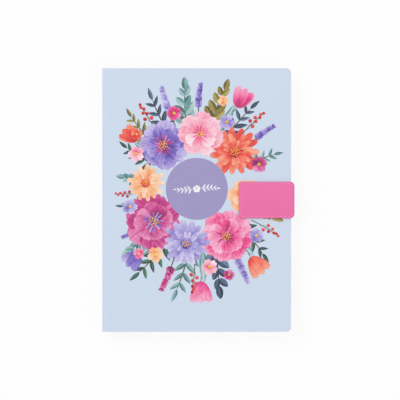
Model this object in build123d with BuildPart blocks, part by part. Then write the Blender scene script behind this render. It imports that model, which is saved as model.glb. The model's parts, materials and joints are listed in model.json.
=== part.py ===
"""A5 hardback address book with a magnetic clasp.

The closed book lies on its back cover: +X runs to the fore edge, +Y to the head, +Z up to the
front cover. The origin is the middle of the footprint, on the surface the book lies on.
"""

import os

from build123d import *

os.makedirs("parts", exist_ok=True)

# Case: boards, covering paper and endpapers, in millimetres
cover_width = 154.0  # spine face to the fore edge of the boards
cover_height = 215.0
case_thickness = 18.0
board_thickness = 2.0
covering_paper = 0.3
endpaper = 0.2
turn_in = 15.0  # covering paper folded over onto the inside of a board
endpaper_border = 3.0  # turn-in left bare round an endpaper
corner_radius = 4.0  # fore-edge corners of the covers
edge_softness = 0.3  # where the covering paper turns over an edge
spine_edge_radius = 1.0
joint_gap = 5.2  # covering paper with no board behind it, beside the spine
paste_clearance = 0.05

# Text block: sections of folded leaves with a step-cut index
alphabet = "abcdefghijklmnopqrstuvwxyz"
letters_per_section = 2
leaf_setback = 3.0  # covers stand out past the leaves at head, tail and fore edge
leaf_corner = 3.0
block_clearance = 0.05  # between the block and each cover
section_clearance = 0.03
index_depth = 6.0  # how far the leaves below a tab are cut back
index_corner = 1.5
hollow = 1.2  # air between the block's spine and the spine board

# Sewing and spine linings
thread_thickness = 0.3
thread_width = 0.8
sewing_stations = 5
station_spacing = 40.0
mull_thickness = 0.3
mull_setback = 6.0  # mull stops short of head and tail
liner_thickness = 0.25
headband_radius = 0.8
headband_tape = 0.25
headband_flange = 9.0  # tape glued down the spine
headband_seat = 0.1
lining_setback = 0.3  # linings stop short of the block's first and last leaf
lining_gap = 0.5

# Clasp: strap folded round the fore edge, with a magnet in its tab
tab_length = 45.4
tab_width = 29.6
tab_free_corner = 1.8
tab_fold_corner = 3.2
neck_width = 23.2  # the strap below the tab
skin = 0.5
stiffener_thickness = 0.7
turned_edge = 2.4  # skin folded in over itself round the stiffener
stiffener_clearance = 0.1
strap_gap = 1.1  # fore edge of the covers to the strap
tab_lift = 0.3  # front cover to the tab's lining
fold_radius = 0.4  # inside the upper fold
anchor_reach = 0.3  # strap leaves the back cover before it turns up
anchor_clearance = 0.1
anchor_corner = 2.0
magnet_diameter = 14.0
magnet_inset = 12.0  # free end of the tab to the magnet's middle
magnet_clearance = 0.1
keeper_diameter = 16.0
keeper_thickness = 0.8
stitch_inset = 1.6
stitch_end_inset = 2.4
stitch_pitch = 3.2
stitch_length = 2.1
stitch_width = 0.6
stitch_height = 0.25
thread_line = 0.3  # sewing line under the stitches
thread_line_height = 0.08
stitch_corner = 1.0

# Places that follow from the sizes
strap_thickness = 2 * skin + stiffener_thickness
spine_face = -(cover_width + strap_gap + strap_thickness) / 2
fore_edge = spine_face + cover_width
half_height = cover_height / 2
board_depth = covering_paper + board_thickness
case_depth = board_depth + covering_paper
cover_depth = case_depth + endpaper
spine_inside = spine_face + case_depth
board_edge = spine_inside + joint_gap

block_low = cover_depth + block_clearance
block_high = case_thickness - block_low
section_names = ["birthdays"] + [
    alphabet[i : i + letters_per_section] for i in range(0, len(alphabet), letters_per_section)
]
section_count = len(section_names)
section_pitch = (block_high - block_low - 2 * endpaper - section_clearance) / section_count
section_thickness = section_pitch - section_clearance
leaf_edge = spine_inside + hollow + thread_thickness + mull_thickness + liner_thickness
leaf_fore = fore_edge - leaf_setback
leaf_half = half_height - leaf_setback
index_edge = leaf_fore - index_depth
index_step = 2 * leaf_half / section_count

strap_in = fore_edge + strap_gap
strap_out = strap_in + strap_thickness
tab_low = case_thickness + tab_lift
tab_high = tab_low + strap_thickness
tab_end = strap_out - tab_length
fold_x = strap_in - fold_radius
fold_z = tab_low - fold_radius
magnet_x = tab_end + magnet_inset
anchor_end = fore_edge + anchor_reach
anchor_start = fore_edge - turn_in + anchor_clearance
anchor_high = case_depth
anchor_low = anchor_high - 2 * skin
neck_low = anchor_low + strap_out - anchor_end


def save(piece, label):
    """Name a finished piece and write it to its own file."""
    piece.part.label = label
    export_step(piece.part, f"parts/{label}.step")


def layer(side, outer_depth, inner_depth):
    """Plane and height of a layer between two depths below the outer face of a cover."""
    height = inner_depth - outer_depth
    if side == "front":
        return Plane.XY.offset(case_thickness - inner_depth), height
    return Plane.XY.offset(outer_depth), height


def cover_plan(inset, joint_inset=0):
    """Outline of a cover set in from its three free edges and its joint, rounded at the fore edge."""
    near_edge = board_edge + joint_inset
    far_edge = fore_edge - inset
    with Locations(((near_edge + far_edge) / 2, 0)):
        Rectangle(far_edge - near_edge, cover_height - 2 * inset)
    fillet(vertices().group_by(Axis.X)[-1], radius=max(corner_radius - inset, edge_softness))


def inside_plan(inset):
    """Square-cornered area of a cover's inside, from the hinge to inset from the free edges."""
    far_edge = fore_edge - inset
    with Locations(((board_edge + far_edge) / 2, 0)):
        Rectangle(far_edge - board_edge, cover_height - 2 * inset)


def anchor_plan(start, end, clearance):
    """Strap's place across the inside of the back cover, rounded at its glued end."""
    with Locations(((start + end) / 2, 0)):
        Rectangle(end - start, neck_width + 2 * clearance)
    fillet(vertices().group_by(Axis.X)[0], radius=anchor_corner)


def spine_profile(inset):
    """Section through the spine, rounded along its two outer edges."""
    width = case_depth if inset == 0 else board_thickness
    with Locations((spine_face + inset + width / 2, case_thickness / 2)):
        Rectangle(width, case_thickness - 2 * inset)
    fillet(vertices().group_by(Axis.X)[0], radius=spine_edge_radius - inset)


def tab_plan():
    """Outline of the clasp tab seen from above, fold included."""
    with Locations(((tab_end + strap_out) / 2, 0)):
        Rectangle(tab_length, tab_width)
    fillet(vertices().group_by(Axis.X)[-1], radius=tab_fold_corner)
    fillet(vertices().group_by(Axis.X)[0], radius=tab_free_corner)


def tab_plan_to_fold():
    """The tab's flat part, up to where the strap starts to bend."""
    tab_plan()
    with Locations((fold_x, 0)):
        Rectangle(tab_length, 2 * tab_width, align=(Align.MIN, Align.CENTER), mode=Mode.SUBTRACT)


def tab_core_plan(clearance):
    """Room for the stiffener inside the tab's turned edge."""
    start = tab_end + turned_edge + clearance
    end = fold_x - turned_edge - clearance
    with Locations(((start + end) / 2, 0)):
        RectangleRounded(end - start, tab_width - 2 * turned_edge - 2 * clearance, tab_free_corner)


def neck_plan(margin):
    """Strap beside the fore edge, seen from +X."""
    low = neck_low + margin
    high = fold_z - margin
    with Locations((0, (low + high) / 2)):
        Rectangle(neck_width - 2 * margin, high - low)


# Two covers, each a board wrapped in covering paper and lined with an endpaper
for side in ("front", "back"):
    with BuildPart() as board:
        base, height = layer(side, covering_paper, board_depth)
        with BuildSketch(base):
            cover_plan(covering_paper, covering_paper)
        extrude(amount=height)
        if side == "front":
            with BuildSketch(Plane.XY.offset(case_thickness - covering_paper)):
                with Locations((magnet_x, 0)):
                    Circle(keeper_diameter / 2 + magnet_clearance)
            extrude(amount=-keeper_thickness, mode=Mode.SUBTRACT)
        else:
            with BuildSketch(Plane.XY.offset(anchor_low)):
                anchor_plan(anchor_start - anchor_clearance, anchor_end, anchor_clearance)
            extrude(amount=2 * skin, mode=Mode.SUBTRACT)
    save(board, f"{side}_board")

    # Only between the turn-ins does the paper leave the board's joint edge bare
    with BuildPart() as cover_sheet:
        base, height = layer(side, 0, case_depth)
        with BuildSketch(base):
            cover_plan(0)
        extrude(amount=height)
        outer_face = faces().sort_by(Axis.Z)[-1 if side == "front" else 0]
        fillet(outer_face.edges().sort_by(Axis.X)[1:], radius=edge_softness)
        base, height = layer(side, covering_paper, board_depth)
        with BuildSketch(base):
            cover_plan(covering_paper, covering_paper)
            with Locations((board_edge, 0)):
                Rectangle(2 * covering_paper, cover_height - 2 * turn_in, align=(Align.MIN, Align.CENTER))
        extrude(amount=height, mode=Mode.SUBTRACT)
        base, height = layer(side, board_depth, case_depth)
        with BuildSketch(base):
            inside_plan(turn_in)
        extrude(amount=height, mode=Mode.SUBTRACT)
        if side == "back":
            with BuildSketch(Plane.XY.offset(anchor_low)):
                anchor_plan(anchor_start - anchor_clearance, anchor_end, anchor_clearance)
            extrude(amount=2 * skin, mode=Mode.SUBTRACT)
    save(cover_sheet, f"{side}_cover_sheet")

    # The endpaper lies on the turn-ins round its rim and steps down onto the bare board
    with BuildPart() as pastedown:
        base, height = layer(side, case_depth, cover_depth)
        with BuildSketch(base):
            cover_plan(endpaper_border)
        extrude(amount=height)
        base, height = layer(side, board_depth, cover_depth)
        with BuildSketch(base):
            inside_plan(turn_in + paste_clearance)
        extrude(amount=height)
        base, height = layer(side, board_depth + endpaper, cover_depth)
        with BuildSketch(base):
            inside_plan(turn_in + paste_clearance + endpaper)
        extrude(amount=height, mode=Mode.SUBTRACT)
    save(pastedown, f"{side}_pastedown")

    # Covering paper that bridges the joint, doubled by the turn-ins at head and tail
    with BuildPart() as hinge_strip:
        base, height = layer(side, 0, covering_paper)
        with BuildSketch(base):
            with Locations(((spine_inside + board_edge) / 2, 0)):
                Rectangle(joint_gap, cover_height)
        extrude(amount=height)
        base, height = layer(side, covering_paper, 2 * covering_paper)
        with BuildSketch(base):
            with Locations(((spine_inside + board_edge) / 2, 0)):
                with GridLocations(0, cover_height - turn_in, 1, 2):
                    Rectangle(joint_gap, turn_in)
        extrude(amount=height)
        outer_face = faces().sort_by(Axis.Z)[-1 if side == "front" else 0]
        fillet(outer_face.edges().filter_by(Axis.X), radius=edge_softness)
    save(hinge_strip, f"{side}_hinge_strip")

    # Endpaper pasted under the hinge strip and down the edge of the board
    with BuildPart() as joint_lining:
        base, height = layer(side, 2 * covering_paper, 2 * covering_paper + endpaper)
        with BuildSketch(base):
            with Locations(((spine_inside + board_edge) / 2, 0)):
                Rectangle(joint_gap, 2 * leaf_half)
        extrude(amount=height)
        base, height = layer(side, 2 * covering_paper, cover_depth)
        with BuildSketch(base):
            with Locations((board_edge, 0)):
                Rectangle(endpaper, 2 * leaf_half, align=(Align.MAX, Align.CENTER))
        extrude(amount=height)
    save(joint_lining, f"{side}_joint_lining")

    # Endpaper from the joint to the gutter of the flyleaf
    with BuildPart() as gutter_fold:
        lining_depth = 2 * covering_paper + endpaper
        joint_z = case_thickness - lining_depth if side == "front" else lining_depth
        outer_z = block_high if side == "front" else block_low
        inner_z = outer_z - endpaper if side == "front" else outer_z + endpaper
        with BuildSketch(Plane.XZ):
            with BuildLine():
                Polyline(
                    (spine_inside, joint_z),
                    (spine_inside + endpaper, joint_z),
                    (leaf_edge, outer_z),
                    (leaf_edge, inner_z),
                    close=True,
                )
            make_face()
        extrude(amount=leaf_half, both=True)
    save(gutter_fold, f"{side}_gutter_fold")

    with BuildPart() as flyleaf:
        flyleaf_low = block_high - endpaper if side == "front" else block_low
        with BuildSketch(Plane.XY.offset(flyleaf_low)):
            with Locations(((leaf_edge + leaf_fore) / 2, 0)):
                Rectangle(leaf_fore - leaf_edge, 2 * leaf_half)
            fillet(vertices().group_by(Axis.X)[-1], radius=leaf_corner)
        extrude(amount=endpaper)
    save(flyleaf, f"{side}_flyleaf")

# Spine board and the covering paper round it
with BuildPart() as spine_board:
    with BuildSketch(Plane.XZ):
        spine_profile(covering_paper)
    extrude(amount=half_height - covering_paper, both=True)
save(spine_board, "spine_board")

with BuildPart() as spine_cover_sheet:
    with BuildSketch(Plane.XZ):
        spine_profile(0)
    extrude(amount=half_height, both=True)
    with BuildSketch(Plane.XZ):
        spine_profile(covering_paper)
    extrude(amount=half_height - covering_paper, both=True, mode=Mode.SUBTRACT)
    with BuildSketch(Plane.XZ):
        with Locations((spine_face + board_depth, case_thickness / 2)):
            Rectangle(
                covering_paper,
                case_thickness - 2 * covering_paper,
                align=(Align.MIN, Align.CENTER),
            )
    extrude(amount=half_height - turn_in, both=True, mode=Mode.SUBTRACT)
save(spine_cover_sheet, "spine_cover_sheet")

# Sections from front to back, each cut back below its own index tab
for place, section_name in enumerate(section_names):
    tab_foot = leaf_half - (place + 1) * index_step
    section_high = block_high - endpaper - section_clearance - place * section_pitch
    last_section = place == section_count - 1
    with BuildPart() as section:
        with BuildSketch(Plane.XY.offset(section_high)):
            with Locations(((leaf_edge + leaf_fore) / 2, 0)):
                Rectangle(leaf_fore - leaf_edge, 2 * leaf_half)
            fillet(vertices().group_by(Axis.X)[-1], radius=leaf_corner)
            if not last_section:
                with Locations((index_edge, tab_foot)):
                    Rectangle(
                        2 * index_depth,
                        2 * cover_height,
                        align=(Align.MIN, Align.MAX),
                        mode=Mode.SUBTRACT,
                    )
                foot = vertices().filter_by_position(Axis.Y, tab_foot, tab_foot)
                fillet(foot, radius=index_corner)
                fillet(vertices().sort_by(Axis.Y).group_by(Axis.Y)[0].sort_by(Axis.X)[-1:], radius=leaf_corner)
        extrude(amount=-section_thickness)
    save(section, f"section_{section_name}")

# Links of thread that tie the sections together along the spine
lining_height = block_high - block_low - 2 * (endpaper + lining_setback)
with BuildPart() as sewing_thread:
    with BuildSketch(Plane.YZ.offset(leaf_edge)):
        with Locations((0, case_thickness / 2)):
            with GridLocations(station_spacing, 0, sewing_stations, 1):
                SlotOverall(lining_height, thread_width, rotation=90)
    extrude(amount=-thread_thickness)
save(sewing_thread, "sewing_thread")

with BuildPart() as spine_mull:
    with BuildSketch(Plane.YZ.offset(leaf_edge - thread_thickness)):
        with Locations((0, case_thickness / 2)):
            Rectangle(2 * (leaf_half - mull_setback), lining_height)
    extrude(amount=-mull_thickness)
save(spine_mull, "spine_mull")

tape_face = leaf_edge - thread_thickness - mull_thickness
with BuildPart() as spine_liner:
    with BuildSketch(Plane.YZ.offset(tape_face)):
        with Locations((0, case_thickness / 2)):
            Rectangle(2 * (leaf_half - headband_flange - lining_gap), lining_height)
    extrude(amount=-liner_thickness)
save(spine_liner, "spine_liner")

# Beaded bands that finish the block's spine, with a tape glued down behind
with BuildPart() as headband:
    with BuildSketch(Plane.XY.offset(block_low + endpaper + lining_setback)):
        with Locations((tape_face, leaf_half + headband_seat + headband_radius)):
            Circle(headband_radius)
        with Locations((tape_face, leaf_half - headband_flange)):
            Rectangle(
                headband_tape,
                headband_flange + headband_seat + headband_radius,
                align=(Align.MAX, Align.MIN),
            )
    extrude(amount=lining_height)
save(headband, "headband")

with BuildPart() as tailband:
    add(mirror(headband.part, about=Plane.XZ, mode=Mode.PRIVATE))
save(tailband, "tailband")

# Steel plate let into the front board, for the magnet to hold on to
with BuildPart() as keeper_plate:
    with BuildSketch(Plane.XY.offset(case_thickness - covering_paper)):
        with Locations((magnet_x, 0)):
            Circle(keeper_diameter / 2)
    extrude(amount=-keeper_thickness)
save(keeper_plate, "keeper_plate")

# Tab: a skin with its edge turned in round the stiffener, closed by a lining
with BuildPart() as clasp_tab_outer:
    with BuildSketch(Plane.XY.offset(tab_low + skin)):
        tab_plan_to_fold()
    extrude(amount=stiffener_thickness + skin)
    top_edges = faces().sort_by(Axis.Z)[-1].edges()
    fillet(top_edges.sort_by(Axis.X)[:-1], radius=skin / 2)
    with BuildSketch(Plane.XY.offset(tab_low + skin)):
        tab_core_plan(0)
    extrude(amount=stiffener_thickness, mode=Mode.SUBTRACT)
save(clasp_tab_outer, "clasp_tab_outer")

with BuildPart() as clasp_tab_lining:
    with BuildSketch(Plane.XY.offset(tab_low)):
        tab_plan_to_fold()
    extrude(amount=skin)
save(clasp_tab_lining, "clasp_tab_lining")

with BuildPart() as clasp_tab_stiffener:
    with BuildSketch(Plane.XY.offset(tab_low + skin)):
        tab_core_plan(stiffener_clearance)
        with Locations((magnet_x, 0)):
            Circle(magnet_diameter / 2 + magnet_clearance, mode=Mode.SUBTRACT)
    extrude(amount=stiffener_thickness)
save(clasp_tab_stiffener, "clasp_tab_stiffener")

with BuildPart() as clasp_magnet:
    with BuildSketch(Plane.XY.offset(tab_low + skin)):
        with Locations((magnet_x, 0)):
            Circle(magnet_diameter / 2)
    extrude(amount=stiffener_thickness)
save(clasp_magnet, "clasp_magnet")

# Row of stitches round the tab's three free sides
stitch_x = tab_end + stitch_end_inset
stitch_y = tab_width / 2 - stitch_inset
side_run = fold_x - stitch_x
side_stitches = int(side_run / stitch_pitch)
end_stitches = int((2 * stitch_y - stitch_pitch) / stitch_pitch)
with BuildPart() as clasp_stitching:
    with BuildSketch(Plane.XY.offset(tab_high)):
        with BuildLine():
            FilletPolyline(
                (fold_x, stitch_y),
                (stitch_x, stitch_y),
                (stitch_x, -stitch_y),
                (fold_x, -stitch_y),
                radius=stitch_corner,
            )
        trace(line_width=thread_line)
    extrude(amount=thread_line_height)
    with BuildSketch(Plane.XY.offset(tab_high)):
        with Locations(((stitch_x + fold_x) / 2, 0)):
            with GridLocations(stitch_pitch, 2 * stitch_y, side_stitches, 2):
                SlotOverall(stitch_length, stitch_width)
        with Locations((stitch_x, 0)):
            with GridLocations(0, stitch_pitch, 1, end_stitches):
                SlotOverall(stitch_length, stitch_width, rotation=90)
    extrude(amount=stitch_height)
save(clasp_stitching, "clasp_stitching")

# Upper fold: the strap turns a quarter circle and keeps the tab's rounded outline
with BuildPart() as clasp_upper_fold:
    with BuildSketch(Plane.XZ):
        with Locations((fold_x, fold_z)):
            Circle(fold_radius + strap_thickness)
            Circle(fold_radius, mode=Mode.SUBTRACT)
            Rectangle(
                tab_length,
                tab_length,
                align=(Align.MIN, Align.MIN),
                mode=Mode.INTERSECT,
            )
    extrude(amount=tab_width / 2, both=True)
    with BuildSketch(Plane.XY.offset(fold_z)):
        tab_plan()
    extrude(amount=tab_high - fold_z, mode=Mode.INTERSECT)
save(clasp_upper_fold, "clasp_upper_fold")

# Strap beside the fore edge, made up like the tab
with BuildPart() as clasp_neck_outer:
    with BuildSketch(Plane.YZ.offset(strap_in + skin)):
        neck_plan(0)
    extrude(amount=stiffener_thickness + skin)
    with BuildSketch(Plane.YZ.offset(strap_in + skin)):
        neck_plan(turned_edge)
    extrude(amount=stiffener_thickness, mode=Mode.SUBTRACT)
save(clasp_neck_outer, "clasp_neck_outer")

with BuildPart() as clasp_neck_lining:
    with BuildSketch(Plane.YZ.offset(strap_in)):
        neck_plan(0)
    extrude(amount=skin)
save(clasp_neck_lining, "clasp_neck_lining")

with BuildPart() as clasp_neck_stiffener:
    with BuildSketch(Plane.YZ.offset(strap_in + skin)):
        neck_plan(turned_edge + stiffener_clearance)
    extrude(amount=stiffener_thickness)
save(clasp_neck_stiffener, "clasp_neck_stiffener")

# Lower fold: thin where it leaves the back cover, full thickness where the strap stands up
outer_bend = strap_out - anchor_end
inner_bend = strap_in - anchor_end
with BuildPart() as clasp_lower_fold:
    with BuildSketch(Plane.XZ):
        with BuildLine():
            CenterArc((anchor_end, anchor_low + outer_bend), outer_bend, -90, 90)
            CenterArc((anchor_end, anchor_high + inner_bend), inner_bend, -90, 90)
            Line((anchor_end, anchor_low), (anchor_end, anchor_high))
            Polyline(
                (strap_in, anchor_high + inner_bend),
                (strap_in, neck_low),
                (strap_out, neck_low),
            )
        make_face()
    extrude(amount=neck_width / 2, both=True)
save(clasp_lower_fold, "clasp_lower_fold")

# Strap's glued end, let into the back board under the endpaper
with BuildPart() as clasp_anchor:
    with BuildSketch(Plane.XY.offset(anchor_low)):
        anchor_plan(anchor_start, anchor_end, 0)
    extrude(amount=2 * skin)
save(clasp_anchor, "clasp_anchor")
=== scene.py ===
"""Looks of a hardback address book with a magnetic clasp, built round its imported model."""
import json
import random
from contextlib import contextmanager
from math import atan2, copysign, cos, hypot, pi, radians, sin, sqrt

import bmesh
import bpy
from mathutils import Matrix, Vector

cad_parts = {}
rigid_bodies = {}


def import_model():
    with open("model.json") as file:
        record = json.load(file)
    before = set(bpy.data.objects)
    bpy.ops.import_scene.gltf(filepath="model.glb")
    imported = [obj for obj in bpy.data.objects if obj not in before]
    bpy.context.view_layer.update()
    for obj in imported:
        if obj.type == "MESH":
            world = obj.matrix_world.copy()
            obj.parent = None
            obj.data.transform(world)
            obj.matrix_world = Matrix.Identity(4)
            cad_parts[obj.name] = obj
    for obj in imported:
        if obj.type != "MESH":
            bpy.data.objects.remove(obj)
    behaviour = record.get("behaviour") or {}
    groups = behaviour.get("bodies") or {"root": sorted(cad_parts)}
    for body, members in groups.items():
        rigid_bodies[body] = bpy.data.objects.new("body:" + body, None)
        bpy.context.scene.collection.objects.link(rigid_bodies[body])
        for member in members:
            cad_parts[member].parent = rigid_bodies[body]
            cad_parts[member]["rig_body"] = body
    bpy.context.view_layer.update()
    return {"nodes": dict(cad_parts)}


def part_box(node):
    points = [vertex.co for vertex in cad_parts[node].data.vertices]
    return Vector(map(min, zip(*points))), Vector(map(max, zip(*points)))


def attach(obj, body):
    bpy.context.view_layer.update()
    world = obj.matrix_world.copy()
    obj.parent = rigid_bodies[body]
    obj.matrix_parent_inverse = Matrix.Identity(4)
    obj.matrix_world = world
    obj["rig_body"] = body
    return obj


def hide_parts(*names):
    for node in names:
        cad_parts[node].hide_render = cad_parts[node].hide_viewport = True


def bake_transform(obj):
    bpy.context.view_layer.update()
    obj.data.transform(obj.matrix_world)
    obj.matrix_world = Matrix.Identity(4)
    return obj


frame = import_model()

MM = 0.001
TOUCH = 1e-6  # points nearer to each other than this share a place
nodes = frame["nodes"]
objects = bpy.context.scene.collection.objects
chance = random.Random(11)

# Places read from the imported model
cover_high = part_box("front_cover_sheet")[1]
spine_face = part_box("spine_cover_sheet")[0].x
hinge_low, hinge_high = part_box("front_hinge_strip")
tab_low, tab_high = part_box("clasp_tab_outer")
tab_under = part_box("clasp_tab_lining")[0].z
fold_low, fold_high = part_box("clasp_upper_fold")
neck_low, neck_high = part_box("clasp_neck_outer")
neck_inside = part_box("clasp_neck_lining")[0].x
lower_low, lower_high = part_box("clasp_lower_fold")
anchor_low, anchor_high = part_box("clasp_anchor")
fly_low, fly_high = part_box("front_flyleaf")
cover_top = cover_high.z
fore_edge = cover_high.x
half_height = cover_high.y
leaf_edge = fly_low.x
leaf_fore = fly_high.x
leaf_half = fly_high.y
index_edge = leaf_fore - 6.0 * MM  # leaves are cut back to here below their index tab


# Shaders

def paint(code):
    """Linear colour of a printed colour code."""
    channels = [int(code[i : i + 2], 16) / 255 for i in (1, 3, 5)]
    linear = [c / 12.92 if c <= 0.04045 else ((c + 0.055) / 1.055) ** 2.4 for c in channels]
    return (*linear, 1.0)


def operation(kind):
    """A method that adds a Math node on a value and on what else the method is given."""
    return lambda self, *others: self.shading.calculate(kind, self, *others)


class Value:
    """A shader socket that sums can be written with."""

    def __init__(self, shading, socket):
        self.shading = shading
        self.socket = socket

    __add__ = __radd__ = operation("ADD")
    __mul__ = __rmul__ = operation("MULTIPLY")
    __sub__ = operation("SUBTRACT")
    __truediv__ = operation("DIVIDE")
    __pow__ = operation("POWER")
    __abs__ = operation("ABSOLUTE")
    larger = operation("MAXIMUM")
    smaller = operation("MINIMUM")
    waves = operation("SINE")
    repeat = operation("FLOORED_MODULO")  # place within a length that repeats

    def __rsub__(self, other):
        return self.shading.calculate("SUBTRACT", other, self)

    def between(self, low, high):
        """0 below low and 1 above high, smooth between them."""
        inputs = {"Value": self, "From Min": low, "From Max": high}
        return self.shading.node("MapRange", {"interpolation_type": "SMOOTHSTEP"}, inputs)

    def output(self, name):
        """Another output of the same node."""
        return Value(self.shading, self.socket.node.outputs[name])


class Shading:
    """A node tree whose nodes are written as expressions, with colours as printed codes."""

    def __init__(self, owner):
        owner.use_nodes = True
        self.tree = owner.node_tree

    def node(self, kind, settings, inputs, output=0):
        """Add a node, with its settings first and then the values or links of its sockets."""
        made = self.tree.nodes.new("ShaderNode" + kind)
        for setting, value in settings.items():
            if setting == "stops":
                self.set_stops(made.color_ramp.elements, value)
            else:
                setattr(made, setting, value)
        for socket, value in inputs.items():
            if isinstance(value, Value):
                self.tree.links.new(value.socket, made.inputs[socket])
            else:
                made.inputs[socket].default_value = paint(value) if isinstance(value, str) else value
        return Value(self, made.outputs[output]) if made.outputs else None

    @staticmethod
    def set_stops(elements, stops):
        while len(elements) < len(stops):
            elements.new(1.0)
        for element, (position, colour) in zip(elements, stops):
            element.position = position
            element.color = paint(colour)

    def calculate(self, kind, *values):
        return self.node("Math", {"operation": kind}, dict(enumerate(values)))

    def seen(self):
        """1 for what the camera sees, also by reflection or through glass, and 0 for other light."""
        direct = self.node("LightPath", {}, {}, "Is Camera Ray")
        mirrored = direct.output("Is Glossy Ray")
        return direct.larger(mirrored).larger(direct.output("Is Transmission Ray"))


class Look(Shading):
    """A material of one shader, whose sockets that are the same all over are set by name."""

    def __init__(self, name, **constants):
        self.material = bpy.data.materials.new(name)
        super().__init__(self.material)
        self.shader = self.tree.nodes["Principled BSDF"]
        for socket, value in constants.items():
            self.shader.inputs[socket.replace("_", " ")].default_value = value
        self.place = self.node("TexCoord", {}, {}, "Object")

    def axes(self, vector=None):
        """Coordinates of a vector, or else of the place in the model."""
        x = self.node("SeparateXYZ", {}, {"Vector": vector or self.place}, "X")
        return x, x.output("Y"), x.output("Z")

    def flat_axes(self):
        """The piece's own flat coordinates, across and up."""
        return self.axes(self.node("UVMap", {"uv_map": "UVMap"}, {}))[:2]

    def tone(self):
        """The shade that give_tone gave to each leaf or shape."""
        return self.node("Attribute", {"attribute_name": "tone"}, {}, "Fac")

    def noise(self, scale, detail, axes=None):
        """Noise at the place in the model, or else at other coordinates."""
        at = self.node("CombineXYZ", {}, dict(enumerate(axes))) if axes else self.place
        inputs = {"Vector": at, "Scale": scale, "Detail": detail, "Roughness": 0.55}
        return self.node("TexNoise", {}, inputs)

    def ramp(self, value, *stops):
        return self.node("ValToRGB", {"stops": stops}, {"Fac": value})

    def mix(self, factor, first, second):
        """Mix two colours, through numbered sockets because others share their names."""
        return self.node("Mix", {"data_type": "RGBA"}, {0: factor, 6: first, 7: second}, 2)

    def shade(self, colour, roughness, relief, strength, depth):
        """Link what varies over the surface, with the depth of its relief in millimetres."""
        normal = self.node("Bump", {}, {"Height": relief, "Strength": strength, "Distance": depth * MM})
        for socket, value in (("Base Color", colour), ("Roughness", roughness), ("Normal", normal)):
            self.tree.links.new(value.socket, self.shader.inputs[socket])
        return self.material


def cover_paper():
    """Pale blue printed paper under a matt film, a little rubbed along its edges."""
    rub_width = 0.8 * MM
    look = Look("cover_paper", Specular_IOR_Level=0.3)
    x, y, z = look.axes()
    cloud = look.noise(28, 4)
    fibre = look.noise(1500, 3)
    scuff = look.noise(420, 4)
    blue = look.mix((cloud - 0.5) * 0.22 + (fibre - 0.5) * 0.10 + 0.5, "#CAD8EA", "#D2DFEF")
    past_x = (x - fore_edge).larger(spine_face - x)
    past_y = abs(y) - half_height
    past_z = abs(z - cover_top / 2) - cover_top / 2
    from_edge = past_x.smaller(past_y).larger(past_x.larger(past_y).smaller(past_z))
    rubbed = from_edge.between(-rub_width, 0.0) * scuff.between(0.50, 0.70) * 0.5
    colour = look.mix(rubbed, blue, "#E9EFF6")
    roughness = 0.46 + (scuff - 0.5) * 0.16 + rubbed * 0.2
    return look.shade(colour, roughness, fibre + look.noise(5200, 2) * 0.6, 0.22, 0.02)


def uncoated_paper(name, dark, light, fleck):
    """Soft uncoated paper with loose fibres, which lie along the book's height."""
    look = Look(name, Specular_IOR_Level=0.15)
    cloud = look.noise(40, 4)
    x, y, z = look.axes()
    fibres = look.noise(900, 4, (x, y * 0.25, z))
    base = look.mix((cloud - 0.5) * 0.5 + (fibres - 0.5) * 0.5 + 0.5, dark, light)
    colour = look.mix(fibres.between(0.66, 0.78) * 0.35, base, fleck)
    return look.shade(colour, 0.82 + (cloud - 0.5) * 0.16, fibres, 0.3, 0.03)


def leaf_paper():
    """Ruled writing paper, tinted where a leaf's index tab stands out."""
    rule_pitch = 7.2 * MM
    rule_width = 0.16 * MM
    entry_pitch = 5 * rule_pitch  # room for one address, between two heavier lines
    divider_width = 0.4 * MM
    rule_reach = 58 * MM  # from the middle of the leaf to the ends of its lines
    rule_fade = 0.2 * MM
    ruled_half = 2.5 * entry_pitch + divider_width
    tint_fade = 0.3 * MM
    look = Look("leaf_paper", Specular_IOR_Level=0.12)
    x, y = look.flat_axes()
    cloud = look.noise(45, 3)
    fibres = look.noise(1300, 3)
    base = look.mix(cloud * 0.3 + fibres * 0.3 + look.tone() * 0.4, "#EBE6DB", "#FCFAF6")
    from_rule = abs(y.repeat(rule_pitch) - rule_pitch / 2)
    from_divider = abs(y.repeat(entry_pitch) - entry_pitch / 2)
    on_rule = 1 - from_rule.between(rule_width / 2, rule_width)
    on_divider = 1 - from_divider.between(divider_width / 2, divider_width)
    margin = abs(x - (leaf_edge + leaf_fore) / 2).between(rule_reach, rule_reach + rule_fade)
    head = abs(y).between(ruled_half, ruled_half + divider_width)
    lines = (on_rule * 0.8).larger(on_divider) * (1 - margin) * (1 - head)
    ruled = look.mix(lines, base, "#A99CCB")
    tint = x.between(index_edge - tint_fade, index_edge) * (0.75 + (cloud - 0.5) * 0.4)
    colour = look.mix(tint, ruled, "#D9CFEA")
    return look.shade(colour, 0.78 + (fibres - 0.5) * 0.2, fibres, 0.25, 0.02)


def grained_skin(name, shaded_valley, lit_crest, grain_scale, grain_depth):
    """Coated leather-cloth with a fine pebble grain, and painted shade: darker valleys, lighter crests."""
    look = Look(name, Specular_IOR_Level=0.35)
    cells = {"Vector": look.place, "Scale": grain_scale, "Smoothness": 0.6}
    pebble = look.node("TexVoronoi", {"feature": "SMOOTH_F1"}, cells)
    creases = look.noise(grain_scale * 0.9, 4)
    cloud = look.noise(60, 3)
    grain = (1 - pebble) * 0.7 + creases * 0.5
    # painted shade: darker in the grain's valleys and lighter on its crests, with random tone from the
    # cloud
    grain_shade_and_tone = (grain - 0.5) * 0.55 + (cloud - 0.5) * 0.3 + 0.5
    roughness = 0.52 + (pebble - 0.3) * 0.25 + (cloud - 0.5) * 0.1
    return look.shade(look.mix(grain_shade_and_tone, shaded_valley, lit_crest), roughness, grain, 0.35, grain_depth)


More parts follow.
